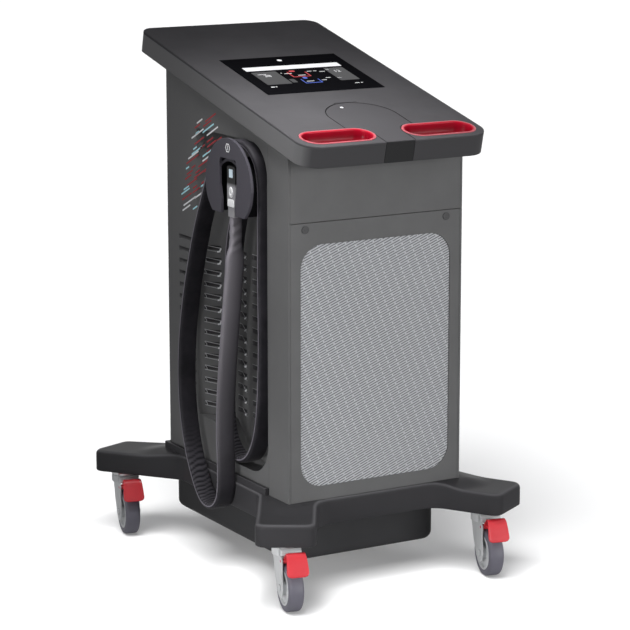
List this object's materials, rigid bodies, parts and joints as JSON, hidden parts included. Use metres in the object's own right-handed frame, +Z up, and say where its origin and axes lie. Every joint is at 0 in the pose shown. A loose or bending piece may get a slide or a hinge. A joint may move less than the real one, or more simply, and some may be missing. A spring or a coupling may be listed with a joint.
{
  "type": "hot cold therapy machine",
  "caption": "Wheeled hot and cold therapy cart: sloped touch-screen console with pull cups, filler lid, front filter door, side hose recesses, hung hose and braked casters.",
  "frame": {"origin": "on the floor under the middle of the cart", "axes": "+Z up, -Y out of the front (the filter door), +X to the right seen from the front"},
  "size_m": [0.686, 0.805, 1.1104],
  "materials": {
    "cabinet_paint": "fine texture powder coat",
    "console_plastic": "fine grain",
    "base_plastic": "satin",
    "cup_red": "gloss",
    "pedal_red": "gloss",
    "caster_grey": "smooth",
    "tread_grey": "soft tread",
    "zinc_steel": "zinc plated",
    "screw_black": "black",
    "grille_grey": "perforated sheet",
    "foam_black": "open cell foam",
    "hose_black": "woven sleeve",
    "connector_black": "fine grain",
    "button_blue": "gloss",
    "glass_black": "cover glass, black behind",
    "unit_plastic": "moulded",
    "plain_steel": "zinc plated",
    "aluminium": "cast"
  },
  "bodies": {
    "cart": {"base_moulding": "base_plastic", "under_tray": "console_plastic", "caster_sockets": "zinc_steel", "chassis_frame": "plain_steel", "left_side_panel": "cabinet_paint", "right_side_panel": "cabinet_paint", "rear_panel": "cabinet_paint", "front_frame": "cabinet_paint", "front_fascia": "cabinet_paint", "console_tray": "console_plastic", "console_top": "console_plastic", "handle_cups": "cup_red", "screen_glass": "glass_black", "display_module": "unit_plastic", "lid_hinge_pin": "zinc_steel", "reservoir": "unit_plastic", "filler_neck": "unit_plastic", "hanger_left": "console_plastic", "hanger_right": "console_plastic", "hose_glands": "hose_black", "hose": "hose_black", "connector_body": "connector_black", "mains_inlet": "connector_black", "panel_screws": "zinc_steel", "condenser": "aluminium", "fan_shroud": "unit_plastic", "compressor": "aluminium", "heat_exchanger": "aluminium", "inline_heater": "aluminium", "water_pump": "unit_plastic", "air_pump": "unit_plastic", "valve_manifold": "unit_plastic", "power_supply": "plain_steel", "control_board": "unit_plastic"},
    "filter_door": {"filter_door": "cabinet_paint", "front_grille": "grille_grey", "filter_foam": "foam_black"},
    "filler_lid": {"filler_lid": "console_plastic"},
    "filler_cap": {"filler_cap": "console_plastic"},
    "quarter_turn_left": {"quarter_turn_left": "screw_black"},
    "quarter_turn_right": {"quarter_turn_right": "screw_black"},
    "fan_rotor": {"fan_rotor": "unit_plastic"},
    "mains_switch": {"mains_switch": "connector_black"},
    "connector_button": {"connector_button": "button_blue"},
    "fork_front_left": {"caster_fork_front_left": "caster_grey"},
    "wheel_front_left": {"wheel_hub_front_left": "caster_grey", "wheel_tyre_front_left": "tread_grey"},
    "pedal_front_left": {"brake_pedal_front_left": "pedal_red"},
    "fork_front_right": {"caster_fork_front_right": "caster_grey"},
    "wheel_front_right": {"wheel_hub_front_right": "caster_grey", "wheel_tyre_front_right": "tread_grey"},
    "pedal_front_right": {"brake_pedal_front_right": "pedal_red"},
    "fork_rear_left": {"caster_fork_rear_left": "caster_grey"},
    "wheel_rear_left": {"wheel_hub_rear_left": "caster_grey", "wheel_tyre_rear_left": "tread_grey"},
    "pedal_rear_left": {"brake_pedal_rear_left": "pedal_red"},
    "fork_rear_right": {"caster_fork_rear_right": "caster_grey"},
    "wheel_rear_right": {"wheel_hub_rear_right": "caster_grey", "wheel_tyre_rear_right": "tread_grey"},
    "pedal_rear_right": {"brake_pedal_rear_right": "pedal_red"}
  },
  "joints": [
    {"name": "filler_lid_hinge", "type": "hinge", "parent": "cart", "child": "filler_lid", "pos_m": [0, -0.13762, 0.98638], "axis": [-1, 0, 0], "range_deg": [0, 95]},
    {"name": "filler_cap_lift", "type": "slide", "parent": "cart", "child": "filler_cap", "axis": [0, 0, 1], "range_m": [0, 0.04]},
    {"name": "filter_door_pull", "type": "slide", "parent": "cart", "child": "filter_door", "axis": [0, -1, 0], "range_m": [0, 0.06]},
    {"name": "quarter_turn_left_twist", "type": "hinge", "parent": "filter_door", "child": "quarter_turn_left", "pos_m": [-0.167, -0.2645, 0.7581], "axis": [0, -1, 0], "range_deg": [0, 90]},
    {"name": "quarter_turn_right_twist", "type": "hinge", "parent": "filter_door", "child": "quarter_turn_right", "pos_m": [0.167, -0.2645, 0.7581], "axis": [0, -1, 0], "range_deg": [0, 90]},
    {"name": "fan_spin", "type": "hinge", "parent": "cart", "child": "fan_rotor", "pos_m": [0, -0.187, 0.431], "axis": [0, 1, 0], "continuous": true},
    {"name": "mains_switch_rock", "type": "hinge", "parent": "cart", "child": "mains_switch", "pos_m": [0.115, 0.2605, 0.3], "axis": [1, 0, 0], "range_deg": [-8, 8]},
    {"name": "connector_button_press", "type": "slide", "parent": "cart", "child": "connector_button", "axis": [1, 0, 0], "range_m": [0, 0.003], "stiffness_N_per_m": 300},
    {"name": "swivel_front_left", "type": "hinge", "parent": "cart", "child": "fork_front_left", "pos_m": [-0.24, -0.314, 0.122], "axis": [0, 0, 1], "continuous": true},
    {"name": "roll_front_left", "type": "hinge", "parent": "fork_front_left", "child": "wheel_front_left", "pos_m": [-0.2463, -0.34128, 0.05], "axis": [0.9744, -0.225, 0], "continuous": true},
    {"name": "brake_front_left", "type": "hinge", "parent": "fork_front_left", "child": "pedal_front_left", "pos_m": [-0.24742, -0.34615, 0.107], "axis": [0.9744, -0.225, 0], "range_deg": [0, 12]},
    {"name": "swivel_front_right", "type": "hinge", "parent": "cart", "child": "fork_front_right", "pos_m": [0.24, -0.314, 0.122], "axis": [0, 0, 1], "continuous": true},
    {"name": "roll_front_right", "type": "hinge", "parent": "fork_front_right", "child": "wheel_front_right", "pos_m": [0.2337, -0.34128, 0.05], "axis": [0.9744, -0.225, 0], "continuous": true},
    {"name": "brake_front_right", "type": "hinge", "parent": "fork_front_right", "child": "pedal_front_right", "pos_m": [0.23258, -0.34615, 0.107], "axis": [0.9744, -0.225, 0], "range_deg": [0, 12]},
    {"name": "swivel_rear_left", "type": "hinge", "parent": "cart", "child": "fork_rear_left", "pos_m": [-0.28, 0.343, 0.122], "axis": [0, 0, 1], "continuous": true},
    {"name": "roll_rear_left", "type": "hinge", "parent": "fork_rear_left", "child": "wheel_rear_left", "pos_m": [-0.2863, 0.31572, 0.05], "axis": [0.9744, -0.225, 0], "continuous": true},
    {"name": "brake_rear_left", "type": "hinge", "parent": "fork_rear_left", "child": "pedal_rear_left", "pos_m": [-0.28742, 0.31085, 0.107], "axis": [0.9744, -0.225, 0], "range_deg": [0, 12]},
    {"name": "swivel_rear_right", "type": "hinge", "parent": "cart", "child": "fork_rear_right", "pos_m": [0.28, 0.343, 0.122], "axis": [0, 0, 1], "continuous": true},
    {"name": "roll_rear_right", "type": "hinge", "parent": "fork_rear_right", "child": "wheel_rear_right", "pos_m": [0.2737, 0.31572, 0.05], "axis": [0.9744, -0.225, 0], "continuous": true},
    {"name": "brake_rear_right", "type": "hinge", "parent": "fork_rear_right", "child": "pedal_rear_right", "pos_m": [0.27258, 0.31085, 0.107], "axis": [0.9744, -0.225, 0], "range_deg": [0, 12]}
  ]
}
